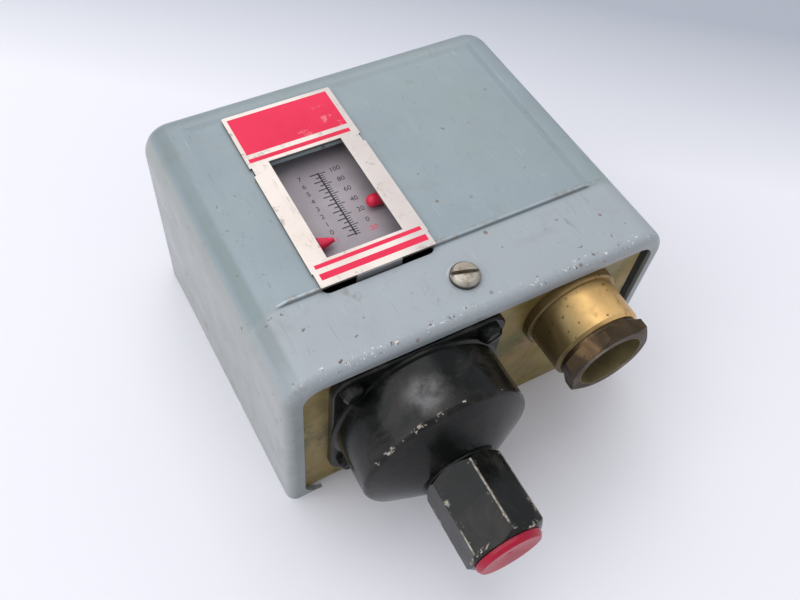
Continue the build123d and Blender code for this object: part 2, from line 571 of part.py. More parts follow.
PORT_R = 5.7
with BuildPart() as hex_connector:
    add(hex_bar(HEX_AF, BELLOWS_X, BELLOWS_Z, CUP_NOSE_Y - 0.5, HEX_END_Y, 30, HEX_AF / 2 - 0.1, 1.4).part)
    bore_y(BELLOWS_X, BELLOWS_Z, CUP_NOSE_Y - 0.6, CUP_NOSE_Y - 0.02, 8.3, Mode.ADD)
    bore_y(BELLOWS_X, BELLOWS_Z, CUP_NOSE_Y - 0.6, CUP_NOSE_Y + 2.0, 5.15, Mode.ADD)
    bore_y(BELLOWS_X, BELLOWS_Z, -90, CUP_NOSE_Y + 3, 1.6)
    bore_y(BELLOWS_X, BELLOWS_Z, -90, HEX_END_Y + 13, PORT_R)
save(hex_connector, "hex_connector")

PLUG_Y = HEX_END_Y - 0.1
save(
    turned([(0, PLUG_Y - 0.8), (6.6, PLUG_Y - 1.6), (7.2, PLUG_Y - 1.6), (7.8, PLUG_Y - 0.8), (7.8, PLUG_Y),
            (PORT_R - 0.1, PLUG_Y), (PORT_R - 0.3, PLUG_Y + 9), (PORT_R - 1.2, PLUG_Y + 10),
            (0, PLUG_Y + 10)], BELLOWS_X, BELLOWS_Z),
    "thread_plug",
)

# ---------------------------------------------------------------- cable gland
GLAND_BORE_R = 9.9
NUT_START_Y = -53.5
NUT_END_Y = -57.3
GLAND_TAIL_Y = -34.6
with BuildPart() as gland_body:
    add(turned(
        [(8.0, GLAND_TAIL_Y), (10.0, GLAND_TAIL_Y), (10.0, WALL_Y - 0.02), (COLLAR_R, WALL_Y - 0.02),
         (COLLAR_R, WALL_Y - COLLAR_T + 0.4), (COLLAR_R - 0.4, WALL_Y - COLLAR_T), (GLAND_R, WALL_Y - COLLAR_T),
         (GLAND_R - 0.15, GLAND_END_Y + 0.7), (GLAND_R - 0.9, GLAND_END_Y), (GLAND_BORE_R, GLAND_END_Y),
         (GLAND_BORE_R, -43.6), (8.0, -43.6)], GLAND_X, GLAND_Z).part)
save(gland_body, "gland_body")

with BuildPart() as gland_locknut:
    add(hex_bar(24.0, GLAND_X, GLAND_Z, -35.4, WALL_IN + 0.02, 15, 11.8, 0.6).part)
    bore_y(GLAND_X, GLAND_Z, -45, -30, 10.0 + RUN)
save(gland_locknut, "gland_locknut")

save(
    turned([(7.2, -43.65), (9.7, -43.65), (9.7, -46.4), (8.4, -47.0), (7.2, -46.4)], GLAND_X, GLAND_Z),
    "gland_seal",
)
save(
    turned([(8.75, -47.35), (9.7, -47.35), (9.7, -48.15), (8.75, -48.15)], GLAND_X, GLAND_Z),
    "gland_washer",
)
with BuildPart() as gland_nut:
    add(hex_bar(NUT_AF, GLAND_X, GLAND_Z, NUT_START_Y, NUT_END_Y, 46.5, NUT_AF / 2 - 0.1, 1.0).part)
    bore_y(GLAND_X, GLAND_Z, NUT_START_Y - 0.5, -48.2, GLAND_BORE_R - RUN, Mode.ADD)
    bore_y(GLAND_X, GLAND_Z, -60, -45, NUT_HOLE_R)
save(gland_nut, "gland_nut")
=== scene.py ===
"""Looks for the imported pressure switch: materials, printed graphics, springs, bellows, light and camera."""
import json
import math

import bmesh
import bpy
from mathutils import Matrix, Vector


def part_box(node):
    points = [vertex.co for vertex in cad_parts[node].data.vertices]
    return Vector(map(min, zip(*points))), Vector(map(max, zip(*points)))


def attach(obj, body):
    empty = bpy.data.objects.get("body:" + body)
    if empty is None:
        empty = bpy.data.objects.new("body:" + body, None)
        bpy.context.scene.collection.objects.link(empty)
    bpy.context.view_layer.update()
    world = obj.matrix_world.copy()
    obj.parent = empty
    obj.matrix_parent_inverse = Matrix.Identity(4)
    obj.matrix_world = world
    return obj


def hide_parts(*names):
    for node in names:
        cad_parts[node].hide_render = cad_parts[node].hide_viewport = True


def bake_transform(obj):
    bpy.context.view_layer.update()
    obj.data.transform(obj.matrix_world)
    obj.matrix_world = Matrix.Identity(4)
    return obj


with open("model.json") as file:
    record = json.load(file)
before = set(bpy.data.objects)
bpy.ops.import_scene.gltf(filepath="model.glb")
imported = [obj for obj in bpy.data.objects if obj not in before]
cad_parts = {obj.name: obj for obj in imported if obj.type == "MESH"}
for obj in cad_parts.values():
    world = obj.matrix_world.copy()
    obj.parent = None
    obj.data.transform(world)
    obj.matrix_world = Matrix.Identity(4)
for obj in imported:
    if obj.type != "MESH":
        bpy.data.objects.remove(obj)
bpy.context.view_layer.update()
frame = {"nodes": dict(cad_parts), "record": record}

MM = 0.001
NODES = frame["nodes"]
scene = bpy.context.scene


# ---------------------------------------------------------------- places, in millimetres, from the CAD nodes
def box_mm(node):
    """The low and high corners of a CAD node's box."""
    return [Vector(corner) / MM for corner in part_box(node)]


def middle(node):
    """The centre of a CAD node's box."""
    low, high = box_mm(node)
    return (low + high) / 2


COVER_LOW, COVER_HIGH = box_mm("cover")
FRONT_Y = COVER_LOW.y            # open end of the cover
LEFT_X = -47.5                   # left side of the cover at its open end
FACE_Z = COVER_HIGH.z - 0.6      # plain part of the face, below the raised panel
STEP_Y = FRONT_Y + 19.1          # step at the front of the raised panel
STEP_LEFT, STEP_RIGHT = -39.5, 38.5
PLATE_LOW, PLATE_HIGH = box_mm("nameplate")
SCALE_LOW, SCALE_HIGH = box_mm("scale_plate")
SCREW = middle("cover_screw")
ELEMENT = middle("pressure_cup")             # the element's axis runs along Y
CUP_FRONT_Y = box_mm("pressure_cup")[0].y
SHOULDER_Y = CUP_FRONT_Y + 5.4               # where the cup's side turns into its nose
CUP_R = 20.4
HEX_FRONT_Y = box_mm("hex_connector")[0].y
HEX_R = 9.64                                 # to the connector's corners
GLAND = middle("gland_body")
GLAND_FRONT_Y = box_mm("gland_body")[0].y
NUT_HOLE_R = 8.02


# ---------------------------------------------------------------- camera, floor and light
def look_at(obj, target, roll_deg=0.0):
    """Point an object's -Z at a target, then roll it about its own view axis."""
    back = (obj.location - Vector(target)).normalized()
    right = Vector((0, 0, 1)).cross(back).normalized()
    up = back.cross(right)
    basis = Matrix((right, up, back)).transposed()
    obj.rotation_euler = (basis @ Matrix.Rotation(math.radians(roll_deg), 3, "Z")).to_euler()


def make_camera():
    """A camera close to the object, above its open left corner, slightly rolled."""
    data = bpy.data.cameras.new("camera")
    data.sensor_width = 36.0
    data.lens = 37.8
    data.clip_start = 0.01
    cam = bpy.data.objects.new("camera", data)
    scene.collection.objects.link(cam)
    cam.location = (-0.0736, -0.1117, 0.1983)
    look_at(cam, (-0.00665, -0.0175, 0.030), 8.10)
    scene.camera = cam


def make_floor():
    """A pale sheet under the object that sweeps up a long way behind it."""
    front_y, back_y, bend_y = -1.6, 3.0, 1.4
    half_width = 2.5
    strips = 32
    mesh = bmesh.new()
    rows = []
    for i in range(strips + 1):
        y = front_y + (back_y - front_y) * i / strips
        z = 0.55 * max(0.0, y - bend_y) ** 2
        rows.append([mesh.verts.new((x, y, z)) for x in (-half_width, half_width)])
    for near, far in zip(rows, rows[1:]):
        mesh.faces.new((near[0], near[1], far[1], far[0]))
    data = bpy.data.meshes.new("floor")
    mesh.to_mesh(data)
    mesh.free()
    data.shade_smooth()
    data.materials.append(floor_paper())
    floor = bpy.data.objects.new("floor", data)
    scene.collection.objects.link(floor)


def area_light(name, place, target, size, watts, colour):
    """A square soft light."""
    data = bpy.data.lights.new(name, "AREA")
    data.shape = "SQUARE"
    data.size = size
    data.energy = watts
    data.color = colour
    lamp = bpy.data.objects.new(name, data)
    scene.collection.objects.link(lamp)
    lamp.location = place
    look_at(lamp, target)


def make_light():
    """Broad soft daylight from above and the left, with a cool dome."""
    world = bpy.data.worlds.new("studio")
    scene.world = world
    world.use_nodes = True
    background = world.node_tree.nodes["Background"]
    background.inputs["Color"].default_value = (0.865, 0.895, 0.965, 1)
    background.inputs["Strength"].default_value = 0.76
    area_light("overhead", (-0.05, 0.30, 1.05), (0, 0, 0), 0.9, 4.0, (1.0, 0.985, 0.97))
    area_light("left_window", (-0.85, 0.05, 0.75), (0, 0, 0.02), 0.8, 4.0, (0.97, 0.98, 1.0))
    area_light("back_window", (0.35, 0.85, 0.60), (0, 0, 0.02), 0.6, 1.0, (1.0, 0.98, 0.95))


# ---------------------------------------------------------------- material tools
class Paint:
    """Builds one material's node graph. Its places and lengths are given in millimetres."""

    def __init__(self, name):
        self.material = bpy.data.materials.new(name)
        self.material.use_nodes = True
        self.tree = self.material.node_tree
        self.shader = self.tree.nodes["Principled BSDF"]
        self.place = self.add("ShaderNodeTexCoord").outputs["Object"]
        self.x, self.y, self.z = self.parts(self.place)

    def add(self, kind, **settings):
        node = self.tree.nodes.new(kind)
        for key, value in settings.items():
            setattr(node, key, value)
        return node

    def link(self, out, into):
        self.tree.links.new(out, into)

    def put(self, value, socket):
        """Link an output, or set a plain value."""
        if isinstance(value, bpy.types.NodeSocket):
            self.link(value, socket)
        elif isinstance(value, (tuple, list)) and len(value) == 3 and socket.type == "RGBA":
            socket.default_value = (*value, 1)
        else:
            socket.default_value = value

    def parts(self, vector):
        """The X, Y and Z parts of a vector."""
        node = self.add("ShaderNodeSeparateXYZ")
        self.link(vector, node.inputs[0])
        return [node.outputs[i] for i in range(3)]

    def noise(self, scale, detail, rough=0.55, stretch=(1, 1, 1), turn=0.0, distort=0.0):
        """Cloudy noise with scale features per metre, stretched, and turned about Z by degrees."""
        where = self.add("ShaderNodeMapping")
        self.link(self.place, where.inputs["Vector"])
        where.inputs["Scale"].default_value = stretch
        where.inputs["Rotation"].default_value = (0, 0, math.radians(turn))
        node = self.add("ShaderNodeTexNoise")
        self.link(where.outputs[0], node.inputs["Vector"])
        values = {"Scale": scale, "Detail": detail, "Roughness": rough, "Distortion": distort}
        for key, value in values.items():
            node.inputs[key].default_value = value
        return node.outputs["Fac"]

    def cells(self, scale):
        """Distance from the nearest of many scattered points, in cells."""
        node = self.add("ShaderNodeTexVoronoi", feature="F1")
        self.link(self.place, node.inputs["Vector"])
        node.inputs["Scale"].default_value = scale
        return node.outputs["Distance"]

    def ramp(self, value, low, high, out=(0.0, 1.0), smooth=True):
        """Map low..high to out, clamped."""
        node = self.add("ShaderNodeMapRange")
        node.interpolation_type = "SMOOTHSTEP" if smooth else "LINEAR"
        self.link(value, node.inputs["Value"])
        values = {"From Min": low, "From Max": high, "To Min": out[0], "To Max": out[1]}
        for key, number in values.items():
            node.inputs[key].default_value = number
        return node.outputs[0]

    def spots(self, scale, detail, low, high, rough=0.55, stretch=(1, 1, 1), distort=0.0):
        """1 where a noise is above high, 0 where it is below low."""
        return self.ramp(self.noise(scale, detail, rough, stretch, 0.0, distort), low, high)

    def span(self, length, start, end, out=(0.0, 1.0), smooth=True):
        """A ramp over a coordinate or a distance."""
        return self.ramp(length, start * MM, end * MM, out, smooth)

    def band(self, length, low, high, soft):
        """1 between two places along a coordinate, fading over soft."""
        rise = self.span(length, low - soft, low)
        fall = self.span(length, high, high + soft, (1.0, 0.0))
        return self.times(rise, fall)

    def near(self, centre, full, none):
        """1 within full of a point, 0 beyond none."""
        gap = self.add("ShaderNodeVectorMath", operation="DISTANCE")
        self.link(self.place, gap.inputs[0])
        gap.inputs[1].default_value = Vector(centre) * MM
        return self.span(gap.outputs["Value"], full, none, (1.0, 0.0))

    def maths(self, operation, a, b=None):
        node = self.add("ShaderNodeMath", operation=operation)
        self.put(a, node.inputs[0])
        if b is not None:
            self.put(b, node.inputs[1])
        return node.outputs[0]

    def fold(self, operation, values):
        total = values[0]
        for value in values[1:]:
            total = self.maths(operation, total, value)
        return total

    def times(self, *values):
        return self.fold("MULTIPLY", values)

    def plus(self, *values):
        return self.fold("ADD", values)

    def most(self, *values):
        return self.fold("MAXIMUM", values)

    def ring(self, x, z):
        """Distance from an axis parallel to Y."""
        dx = self.maths("SUBTRACT", self.x, x * MM)
        dz = self.maths("SUBTRACT", self.z, z * MM)
        return self.maths("SQRT", self.plus(self.times(dx, dx), self.times(dz, dz)))

    def mix(self, factor, a, b):
        """A colour between a and b."""
        node = self.add("ShaderNodeMix", data_type="RGBA")
        colours = {socket.name: socket for socket in node.inputs if socket.type == "RGBA"}
        self.put(factor, node.inputs["Factor"])
        self.put(a, colours["A"])
        self.put(b, colours["B"])
        return next(socket for socket in node.outputs if socket.type == "RGBA")

    def blend(self, factor, a, b):
        """A number between a and b."""
        node = self.add("ShaderNodeMix", data_type="FLOAT")
        self.put(factor, node.inputs["Factor"])
        self.put(a, node.inputs["A"])
        self.put(b, node.inputs["B"])
        return node.outputs["Result"]

    def bump(self, height, strength, distance=0.2):
        node = self.add("ShaderNodeBump")
        self.link(height, node.inputs["Height"])
        node.inputs["Strength"].default_value = strength
        node.inputs["Distance"].default_value = distance * MM
        self.link(node.outputs[0], self.shader.inputs["Normal"])

    def done(self, colour, rough, metal=0.0, **fixed):
        """Plug the shader in; fixed names its other sockets, with _ for a space."""
        for name, value in (("Base Color", colour), ("Roughness", rough), ("Metallic", metal)):
            self.put(value, self.shader.inputs[name])
        for name, value in fixed.items():
            self.put(value, self.shader.inputs[name.replace("_", " ")])
        return self.material


def tint(colour, by):
    return tuple(c * by for c in colour)


def scratches(p, scale, turn, low, high):
    """Thin long marks: noise stretched along one direction, kept where it crosses its middle."""
    fine = p.noise(scale, 2, 0.5, (1, 0.035, 1), turn, 0.35)
    line = p.ramp(p.maths("ABSOLUTE", p.maths("SUBTRACT", fine, 0.5)), low, high, (1.0, 0.0))
    return p.times(line, p.spots(scale * 0.25, 2, 0.52, 0.62))


# ---------------------------------------------------------------- cover and nameplate
COVER_BLUE = (0.262, 0.315, 0.335)


def cover_ground(p):
    """The enamel: mottled and grimy low down, with a painted sheen on the strip in front and on the left
    flank, and darker, greener painted shade on the far edge and the roundings, plus painted shade along the
    rounding above the flank and at the front end.
    """
    colour = p.mix(p.spots(38, 5, 0.35, 0.68), tint(COVER_BLUE, 0.94), tint(COVER_BLUE, 1.05))
    colour = p.mix(p.spots(17, 3, 0.45, 0.70), colour, (0.245, 0.305, 0.300))
    # the strip in front of the panel step is painted paler, as a painted sheen
    front_strip_sheen = p.span(p.y, STEP_Y - 1.45, STEP_Y + 0.05, (1.0, 0.0))
    colour = p.mix(p.times(front_strip_sheen, 0.60), colour, (0.375, 0.39, 0.415))
    # painted shade: the far edge and the roundings are darker and greener
    far_edge_shade = p.span(p.y, COVER_HIGH.y - 11.25, COVER_HIGH.y - 1.25)
    rounding_shade = p.span(p.z, FACE_Z - 0.9, FACE_Z - 7.4)
    colour = p.mix(p.times(p.most(far_edge_shade, rounding_shade), 0.5), colour, (0.235, 0.275, 0.265))
    # the left flank below the rounding is painted paler and warmer as painted light, with a painted shade
    # line along the rounding above it
    painted_flank = p.span(p.x, LEFT_X + 1.3, LEFT_X + 0.3)
    colour = p.mix(p.times(painted_flank, 0.75), colour, (0.345, 0.352, 0.338))
    uneven = p.ramp(p.noise(45, 4), 0.35, 0.62, (0.35, 1.0))
    line = p.times(p.band(p.x, LEFT_X + 2.3, LEFT_X + 3.9, 1.2), uneven)
    colour = p.mix(p.times(line, 0.55), colour, (0.165, 0.205, 0.195))
    # warm grime, stronger low on the sides
    low_side = p.span(p.z, 0.0, 45.0, (0.85, 0.30))
    grime = p.times(p.spots(95, 6, 0.54, 0.76, 0.65, distort=0.4), low_side)
    colour = p.mix(grime, colour, (0.20, 0.205, 0.175))
    # painted shade at the front end of the cover
    front_shade = p.span(p.y, FRONT_Y + 1.65, FRONT_Y + 0.35)
    return p.mix(p.times(front_shade, 0.25), colour, (0.20, 0.205, 0.19))


def cover_marks(p, colour):
    """Scratches, smears, rust specks and stains over a colour; also gives the specks."""
    pale = scratches(p, 520, 24, 0.002, 0.008)
    colour = p.mix(p.times(pale, 0.35), colour, (0.43, 0.47, 0.48))
    dark = scratches(p, 430, -58, 0.0015, 0.007)
    colour = p.mix(p.times(dark, 0.45), colour, (0.13, 0.14, 0.13))
    hair = p.most(scratches(p, 300, -33, 0.0008, 0.0035), scratches(p, 340, 62, 0.0008, 0.003))
    colour = p.mix(p.times(hair, 0.28), colour, (0.10, 0.10, 0.095))
    smear = p.times(p.spots(170, 6, 0.56, 0.70, 0.7), p.spots(33, 2, 0.50, 0.62))
    colour = p.mix(p.times(smear, 0.55), colour, (0.185, 0.170, 0.130))
    heads = p.times(p.ramp(p.cells(150), 0.055, 0.10, (1.0, 0.0)), p.spots(60, 2, 0.47, 0.53))
    pins = p.times(p.spots(560, 4, 0.675, 0.70, 0.62, distort=0.5), p.spots(42, 2, 0.48, 0.56))
    speck = p.most(p.times(heads, 0.8), p.times(pins, 0.9))
    stain = p.times(p.spots(260, 4, 0.70, 0.76, 0.7), 0.75)
    rust = p.mix(p.spots(120, 2, 0.42, 0.60), (0.075, 0.068, 0.055), (0.19, 0.115, 0.07))
    return p.mix(p.most(speck, stain), colour, rust), speck


def cover_lines(p, colour):
    """The panel step's painted highlight on its lip, painted shade at its foot and brown marks, and a painted
    highlight on the rim of the cover screw's dimple.
    """
    # painted highlight along the lip of the panel step, strongest at the left
    lip_highlight = p.times(
        p.band(p.y, STEP_Y + 0.45, STEP_Y + 0.65, 0.15),
        p.ramp(p.noise(90, 3), 0.30, 0.50, (0.3, 0.7)),
        p.span(p.x, -25.0, 5.0, (1.0, 0.35)),
        p.band(p.x, STEP_LEFT, STEP_RIGHT - 1.0, 0.8),
    )
    colour = p.mix(lip_highlight, colour, (0.52, 0.56, 0.585))
    # painted shade along the foot of the panel step
    foot = p.times(p.band(p.y, STEP_Y - 0.35, STEP_Y + 0.15, 0.1), p.band(p.x, STEP_LEFT, STEP_RIGHT, 1.5))
    colour = p.mix(p.times(foot, 0.6), colour, (0.13, 0.155, 0.16))
    # painted highlight on the far side of the rim of a dimple round the cover screw
    rim_highlight = p.times(p.near((SCREW.x, SCREW.y, FACE_Z), 3.9, 4.2), p.span(p.y, SCREW.y + 0.75, SCREW.y + 2.75))
    colour = p.mix(p.times(rim_highlight, 0.7), colour, (0.50, 0.53, 0.56))
    brown = p.times(p.band(p.y, STEP_Y + 0.05, STEP_Y + 0.95, 0.5), p.spots(210, 5, 0.50, 0.62, 0.7))
    return p.mix(p.times(brown, 0.6), colour, (0.20, 0.165, 0.145))


def cover_paint():
    """Blue-grey stove enamel with its marks, with painted light and shade, knocked off along the rounded
    front edge and the foot.
    """
    p = Paint("cover_paint")
    colour, speck = cover_marks(p, cover_ground(p))
    colour = cover_lines(p, colour)
    edge = p.times(
        p.band(p.y, FRONT_Y + 0.75, FRONT_Y + 2.65, 0.3),
        p.band(p.z, FACE_Z - 1.4, FACE_Z + 0.6, 0.6),
    )
    foot = p.times(p.span(p.z, 0.4, 1.8, (1.0, 0.0)), 0.8)
    torn = p.plus(p.noise(720, 5, 0.7), p.times(p.noise(1500, 3), 0.25))
    chip = p.times(p.most(edge, foot), p.ramp(torn, 0.715, 0.735))
    bare = p.mix(p.spots(600, 2, 0.50, 0.57), (0.66, 0.64, 0.61), (0.10, 0.065, 0.045))
    colour = p.mix(chip, colour, bare)
    rough = p.blend(p.spots(120, 5, 0.3, 0.7), 0.36, 0.50)
    rough = p.blend(p.most(speck, chip), rough, 0.7)
    p.bump(p.plus(p.noise(650, 2), p.times(chip, -2.5)), 0.10, 0.25)
    return p.done(colour, rough, 0.0, Coat_Weight=0.2, Coat_Roughness=0.3)


def plate_print():
    """Cream print on steel, rubbed and smudged; dark on its cut edges, bare steel with painted shade on the
    side faces, and on the folded tongue, grey paint with painted shade.
    """
    p = Paint("plate_print")
    colour = p.mix(p.spots(70, 5, 0.4, 0.7), (0.82, 0.72, 0.645), (0.73, 0.63, 0.55))
    right_shade = p.span(p.x, PLATE_HIGH.x - 10.0, PLATE_HIGH.x - 2.5, (0.0, 0.62))
    colour = p.mix(right_shade, colour, (0.50, 0.45, 0.43))
    smudge = p.times(p.spots(420, 6, 0.55, 0.68, 0.7), p.spots(60, 2, 0.42, 0.56))
    colour = p.mix(p.times(smudge, 0.70), colour, (0.36, 0.31, 0.27))
    border = p.times(p.span(p.x, PLATE_LOW.x + 2.3, PLATE_LOW.x + 0.3), p.spots(300, 5, 0.57, 0.66, 0.7))
    colour = p.mix(p.times(border, 0.6), colour, (0.24, 0.20, 0.18))
    line = scratches(p, 600, 40, 0.002, 0.008)
    colour = p.mix(p.times(line, 0.6), colour, (0.42, 0.36, 0.32))
    # dark cut edges: bare steel, with painted shade on the plate's side faces and underside
    edge_steel_and_shade = p.span(p.z, PLATE_HIGH.z - 0.18, PLATE_HIGH.z - 0.04, (1.0, 0.0))
    colour = p.mix(edge_steel_and_shade, colour, p.mix(p.noise(500, 3), (0.06, 0.055, 0.05), (0.15, 0.135, 0.12)))
    # the folded tongue: dark grey paint, darkened further as painted shade
    tongue_paint_and_shade = p.span(p.y, PLATE_LOW.y + 0.44, PLATE_LOW.y + 0.38)
    colour = p.mix(tongue_paint_and_shade, colour, p.mix(p.noise(400, 3), (0.10, 0.105, 0.115), (0.20, 0.20, 0.205)))
    rough = p.blend(p.noise(200, 4), 0.32, 0.50)
    p.bump(p.noise(900, 2), 0.05)
    return p.done(colour, rough, 0.0, Coat_Weight=0.25, Coat_Roughness=0.25)


def red_print():
    """Crimson print with rubbed pale spots."""
    p = Paint("red_print")
    colour = p.mix(p.spots(90, 4, 0.35, 0.7), (0.78, 0.016, 0.072), (0.70, 0.011, 0.058))
    rubbed = p.times(p.spots(260, 6, 0.60, 0.69, 0.7), p.spots(45, 2, 0.48, 0.60))
    colour = p.mix(p.times(rubbed, 0.65), colour, (0.82, 0.42, 0.40))
    dirt = p.times(p.spots(500, 5, 0.66, 0.74, 0.7), 0.5)
    colour = p.mix(dirt, colour, (0.22, 0.04, 0.05))
    rough = p.blend(p.noise(220, 4), 0.36, 0.50)
    p.bump(p.noise(900, 2), 0.04)
    return p.done(colour, rough, 0.0, Specular_IOR_Level=0.28)


# ---------------------------------------------------------------- metals
def zinc_yellow():
    """Yellow-passivated zinc gone olive brown, with pink bloom and dark stains."""
    p = Paint("zinc_yellow")
    colour = p.mix(p.spots(75, 5, 0.35, 0.65, 0.6, distort=0.8), (0.215, 0.165, 0.045), (0.315, 0.235, 0.080))
    bloom = p.spots(130, 4, 0.48, 0.70, 0.6, (1, 1, 0.6), 1.2)
    colour = p.mix(bloom, colour, (0.30, 0.185, 0.085))
    colour = p.mix(p.spots(48, 4, 0.55, 0.72, distort=0.6), colour, (0.150, 0.145, 0.048))
    stain = p.times(p.spots(210, 6, 0.5, 0.72, 0.7), 0.7)
    colour = p.mix(stain, colour, (0.085, 0.062, 0.036))
    rough = p.blend(p.spots(160, 5, 0.3, 0.7), 0.34, 0.56)
    p.bump(p.noise(800, 3, 0.5, (1, 0.2, 1)), 0.08)
    return p.done(colour, rough, 0.55)


def zinc_clear(name="zinc_clear", base=(0.50, 0.50, 0.50)):
    """Zinc or nickel plate with tarnish and handling marks."""
    p = Paint(name)
    plated = p.mix(p.spots(120, 5, 0.35, 0.7), tint(base, 0.80), tint(base, 1.1))
    tarnish = p.times(p.spots(330, 5, 0.52, 0.72, 0.65), 0.65)
    colour = p.mix(tarnish, plated, (0.14, 0.115, 0.085))
    rough = p.blend(p.spots(260, 4, 0.3, 0.7), 0.26, 0.48)
    p.bump(p.noise(1400, 3, 0.5, (1, 0.15, 1)), 0.08, 0.1)
    return p.done(colour, rough, 0.85)


def cover_screw_zinc():
    """Zinc screw gone yellow, with painted shade in its slot and under its head."""
    p = Paint("cover_screw_zinc")
    plated = p.mix(p.spots(170, 5, 0.35, 0.68), (0.30, 0.245, 0.185), (0.46, 0.42, 0.36))
    tarnish = p.times(p.spots(420, 5, 0.48, 0.70, 0.65), 0.7)
    colour = p.mix(tarnish, plated, (0.15, 0.10, 0.06))
    # painted shade: darker low down, in the slot and under the head
    low = p.span(p.z, FACE_Z + 0.5, FACE_Z + 1.6, (0.9, 0.0))
    colour = p.mix(low, colour, (0.045, 0.04, 0.034))
    rough = p.blend(p.spots(260, 4, 0.3, 0.7), 0.28, 0.50)
    p.bump(p.noise(1400, 3, 0.5, (1, 0.15, 1)), 0.10, 0.1)
    return p.done(colour, rough, 0.8)


def spring_steel():
    """Dark oiled spring steel with brown patches."""
    p = Paint("spring_steel")
    colour = p.mix(p.spots(300, 4, 0.35, 0.7), (0.20, 0.20, 0.21), (0.40, 0.40, 0.41))
    colour = p.mix(p.spots(150, 5, 0.6, 0.75), colour, (0.17, 0.10, 0.06))
    rough = p.blend(p.noise(400, 3), 0.22, 0.42)
    p.bump(p.noise(1800, 2), 0.06, 0.1)
    return p.done(colour, rough, 0.95)


def element_wear(p):
    """Where the element's enamel is knocked off: cup shoulder, connector corners and end, stray spots."""
    radius = p.ring(ELEMENT.x, ELEMENT.z)
    shoulder = p.times(
        p.band(p.y, SHOULDER_Y, SHOULDER_Y + 0.7, 0.3),
        p.span(radius, CUP_R - 1.4, CUP_R - 0.4),
    )
    on_hex = p.times(
        p.span(p.y, CUP_FRONT_Y + 0.1, CUP_FRONT_Y - 0.9),
        p.span(radius, 10.5, 11.0, (1.0, 0.0)),
    )
    corner = p.times(p.span(radius, HEX_R - 0.59, HEX_R - 0.24), on_hex)
    end = p.times(p.span(p.y, HEX_FRONT_Y + 1.55, HEX_FRONT_Y + 0.75), p.span(radius, 7.8, 8.4))
    torn = p.plus(p.noise(430, 5, 0.7, (0.7, 1, 1)), p.times(p.noise(1900, 3), 0.20))
    worn = p.times(p.most(shoulder, corner, end), p.ramp(torn, 0.68, 0.70))
    stray = p.times(p.spots(640, 3, 0.745, 0.755, 0.6), p.spots(90, 2, 0.54, 0.62))
    ridge = p.times(p.span(radius, HEX_R - 0.18, HEX_R - 0.09), on_hex, p.spots(170, 3, 0.42, 0.50))
    return p.most(worn, stray, p.times(ridge, 0.85))


def black_enamel():
    """Glossy black enamel over steel: dust where it faces up, which also stands for painted light on the
    upward faces, a painted highlight patch on the cup, bright chips on the edges.
    """
    p = Paint("black_enamel")
    colour = p.mix(p.spots(60, 5, 0.35, 0.7), (0.0035, 0.0045, 0.004), (0.008, 0.008, 0.007))
    # dust on the faces that look up, which also paints light on them and leaves the front faces darker as
    # painted shade
    facing_up = p.parts(p.add("ShaderNodeNewGeometry").outputs["Normal"])[2]
    cloud = p.spots(110, 6, 0.42, 0.70, 0.65, distort=0.5)
    dust = p.times(cloud, 0.5, p.ramp(facing_up, 0.05, 0.85, (0.25, 1.0)))
    colour = p.mix(dust, colour, (0.060, 0.052, 0.046))
    # painted highlight: a pale grey patch on the cup's upper side, broken up by noise
    highlight_spot = (ELEMENT.x - 4.6, SHOULDER_Y + 5.7, ELEMENT.z + 19.3)
    rubbed = p.times(p.near(highlight_spot, 0.8, 6.2), p.spots(260, 6, 0.30, 0.66, 0.65))
    colour = p.mix(rubbed, colour, (0.155, 0.148, 0.150))
    chip = element_wear(p)
    bare = p.mix(p.spots(800, 2, 0.4, 0.6), (0.44, 0.42, 0.37), (0.24, 0.20, 0.155))
    colour = p.mix(chip, colour, bare)
    rough = p.blend(p.spots(180, 5, 0.3, 0.7), 0.14, 0.26)
    rough = p.blend(p.most(dust, chip), rough, 0.6)
    dents = p.times(p.noise(55, 3), 2.0)
    p.bump(p.plus(p.noise(420, 3), dents, p.times(chip, -1.6)), 0.16, 0.3)
    return p.done(colour, rough, p.times(chip, 0.6), Specular_IOR_Level=0.20)


